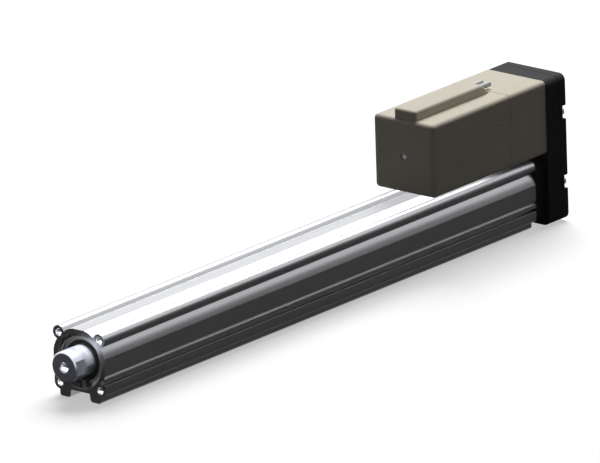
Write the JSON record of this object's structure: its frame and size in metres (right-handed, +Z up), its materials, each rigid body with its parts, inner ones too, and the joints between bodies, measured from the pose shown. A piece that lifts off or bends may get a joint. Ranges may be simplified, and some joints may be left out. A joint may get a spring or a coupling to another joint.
{
  "type": "electric cylinder",
  "caption": "Rod type electric cylinder: a motor parallel to the body drives a ball screw through a belt and pushes the rod out.",
  "frame": {"origin": "centre of the bounding box in X and Y, on the plane of the feet", "axes": "+X is the way the rod extends, +Y is to the right of the body seen from the rear plate, +Z is up from the feet to the motor"},
  "size_m": [0.5784, 0.061, 0.1284],
  "materials": {
    "anodised_aluminium": "satin",
    "dark_anodised_aluminium": "satin",
    "black_casting": "satin",
    "beige_cover": "matte",
    "chromed_steel": "polished",
    "nickel_steel": "satin",
    "steel": "ground",
    "spring_steel": "satin",
    "laminated_steel": "laminated",
    "motor_end_casting": "cast",
    "copper": "enamelled wire",
    "bronze": "sintered",
    "black_rubber": "matte",
    "urethane": "matte",
    "white_acetal": "satin",
    "magnet": "matte",
    "black_plastic": "matte",
    "circuit_board": "satin",
    "grey_lead": "matte"
  },
  "bodies": {
    "cylinder": {"body_tube": "anodised_aluminium", "rod_cover": "dark_anodised_aluminium", "rod_cover_o_ring": "black_rubber", "rod_seal": "black_rubber", "rod_bushing": "bronze", "retaining_ring": "spring_steel", "front_bumper": "urethane", "rear_bumper": "urethane", "bearing_housing": "black_casting", "bearing_outer_races": "steel", "bearing_stopper": "anodised_aluminium", "return_box": "black_casting", "return_plate": "black_casting", "plate_screws": "nickel_steel", "body_screws": "nickel_steel", "adapter_screws": "nickel_steel", "timing_belt": "black_rubber", "motor_adapter": "anodised_aluminium", "motor_drive_bell": "motor_end_casting", "motor_rear_bell": "motor_end_casting", "motor_stator": "laminated_steel", "motor_windings": "copper", "motor_bearing_outers": "steel", "motor_bolts": "steel", "encoder_housing": "black_plastic", "encoder_board": "circuit_board", "lead_connector": "black_plastic", "motor_cover": "beige_cover", "motor_cover_rear": "beige_cover", "cable_grommet": "black_rubber", "motor_lead": "grey_lead", "encoder_lead": "grey_lead"},
    "rod": {"piston_rod": "chromed_steel", "rod_socket": "nickel_steel", "piston": "anodised_aluminium", "magnet_ring": "magnet", "piston_wear_ring": "white_acetal", "rotation_stopper": "white_acetal", "ball_nut": "steel"},
    "screw": {"ball_screw": "steel", "wear_ring_holder": "steel", "screw_wear_ring": "white_acetal", "bearing_inner_races": "steel", "screw_lock_nut": "steel", "screw_pulley": "anodised_aluminium", "screw_pulley_set_screw": "steel"},
    "bearing_balls": {"bearing_balls": "steel"},
    "motor_rotor": {"motor_shaft": "steel", "rotor_core": "laminated_steel", "motor_bearing_inners": "steel", "encoder_disc": "black_plastic", "manual_override_screw": "steel", "motor_pulley": "anodised_aluminium", "motor_pulley_set_screw": "steel"}
  },
  "joints": [
    {"name": "rod_slide", "type": "slide", "parent": "cylinder", "child": "rod", "axis": [1, 0, 0], "range_m": [0, 0.4]},
    {"name": "screw_spin", "type": "hinge", "parent": "cylinder", "child": "screw", "pos_m": [-0.26525, 0, 0.031], "axis": [1, 0, 0], "range_deg": [-18001, 1]},
    {"name": "bearing_ball_orbit", "type": "hinge", "parent": "cylinder", "child": "bearing_balls", "pos_m": [-0.26525, 0, 0.031], "axis": [1, 0, 0], "range_deg": [-6621, 1]},
    {"name": "motor_spin", "type": "hinge", "parent": "cylinder", "child": "motor_rotor", "pos_m": [-0.26525, 0, 0.09], "axis": [1, 0, 0], "range_deg": [-18001, 1], "deforming": ["timing_belt"]}
  ],
  "couplings": [
    {"joint": "screw_spin", "follows": "rod_slide", "rad_per_m": -785.4},
    {"joint": "bearing_ball_orbit", "follows": "rod_slide", "rad_per_m": -288.85},
    {"joint": "motor_spin", "follows": "rod_slide", "rad_per_m": -785.4}
  ]
}
